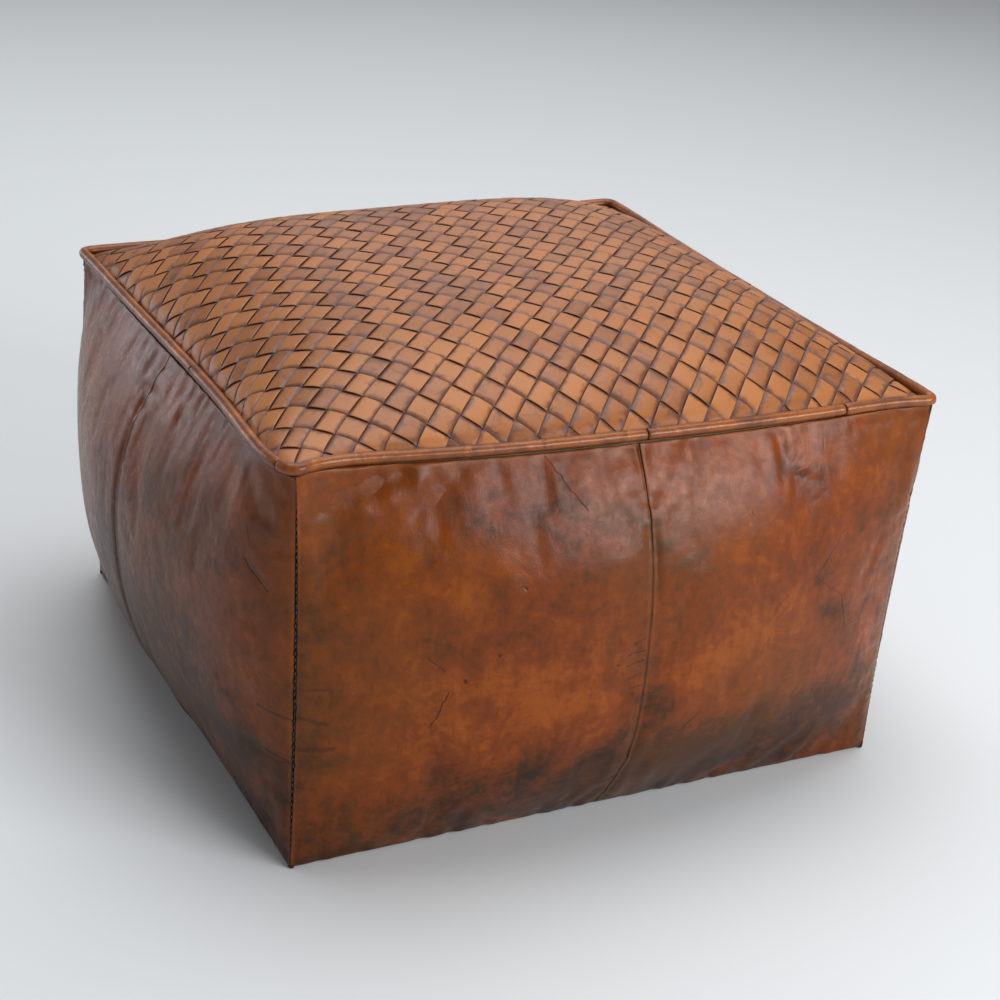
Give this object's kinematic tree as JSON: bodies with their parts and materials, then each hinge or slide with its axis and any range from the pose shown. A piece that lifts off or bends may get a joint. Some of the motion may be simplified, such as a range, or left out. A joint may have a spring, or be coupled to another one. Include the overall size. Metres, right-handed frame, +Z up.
{
  "type": "leather pouf",
  "caption": "Square stuffed leather pouf with a diagonal basket-woven top, a piped top edge, panelled bulging sides and a zipped base.",
  "frame": {"origin": "on the floor, under the middle of the pouf", "axes": "+Z up, -Y out of the front face, +X along the front face to the right; the base zip runs along X and closes towards +X"},
  "size_m": [0.6044, 0.603, 0.3635],
  "materials": {
    "woven_leather": "satin, antiqued",
    "side_leather": "glossy, antiqued",
    "piping_leather": "glossy",
    "base_leather": "matt, plain",
    "cotton_canvas": "matt, plain weave",
    "wadding": "matt, fibrous",
    "foam": "matt, open cell",
    "seam_thread": "matt, twisted",
    "cotton_cord": "matt, twisted",
    "zip_tape": "matt, twill",
    "zip_metal": "antiqued brass, satin"
  },
  "bodies": {
    "cover": {"woven_top": "woven_leather", "top_backing": "cotton_canvas", "piping_cover_1": "piping_leather", "piping_cover_2": "piping_leather", "piping_cover_3": "piping_leather", "piping_cover_4": "piping_leather", "piping_cover_5": "piping_leather", "piping_cover_6": "piping_leather", "piping_cord": "cotton_cord", "front_panel_1": "side_leather", "front_panel_2": "side_leather", "right_panel_1": "side_leather", "right_panel_2": "side_leather", "rear_panel_1": "side_leather", "rear_panel_2": "side_leather", "left_panel_1": "side_leather", "left_panel_2": "side_leather", "front_seam_tape": "cotton_canvas", "right_seam_tape": "cotton_canvas", "rear_seam_tape": "cotton_canvas", "left_seam_tape": "cotton_canvas", "front_left_seam_thread": "seam_thread", "front_right_seam_thread": "seam_thread", "rear_right_seam_thread": "seam_thread", "rear_left_seam_thread": "seam_thread", "base_panel_front": "base_leather", "base_panel_rear": "base_leather", "zip_tape_front": "zip_tape", "zip_tape_rear": "zip_tape", "zip_teeth_front": "zip_metal", "zip_teeth_rear": "zip_metal", "zip_stop_open": "zip_metal", "zip_stop_closed": "zip_metal", "zip_end_tab_open": "base_leather", "zip_end_tab_closed": "base_leather", "inner_bag": "cotton_canvas", "wadding_base": "wadding", "wadding_top": "wadding", "wadding_front": "wadding", "wadding_right": "wadding", "wadding_rear": "wadding", "wadding_left": "wadding", "foam_core": "foam"},
    "slider": {"zip_slider": "zip_metal"},
    "pull": {"zip_pull": "zip_metal"}
  },
  "joints": [
    {"name": "zip_slide", "type": "slide", "parent": "cover", "child": "slider", "axis": [-1, 0, 0], "range_m": [0, 0.38]},
    {"name": "pull_swing", "type": "hinge", "parent": "slider", "child": "pull", "pos_m": [0.198, 0, 0.0044], "axis": [0, -1, 0], "range_deg": [-4, 150]}
  ]
}
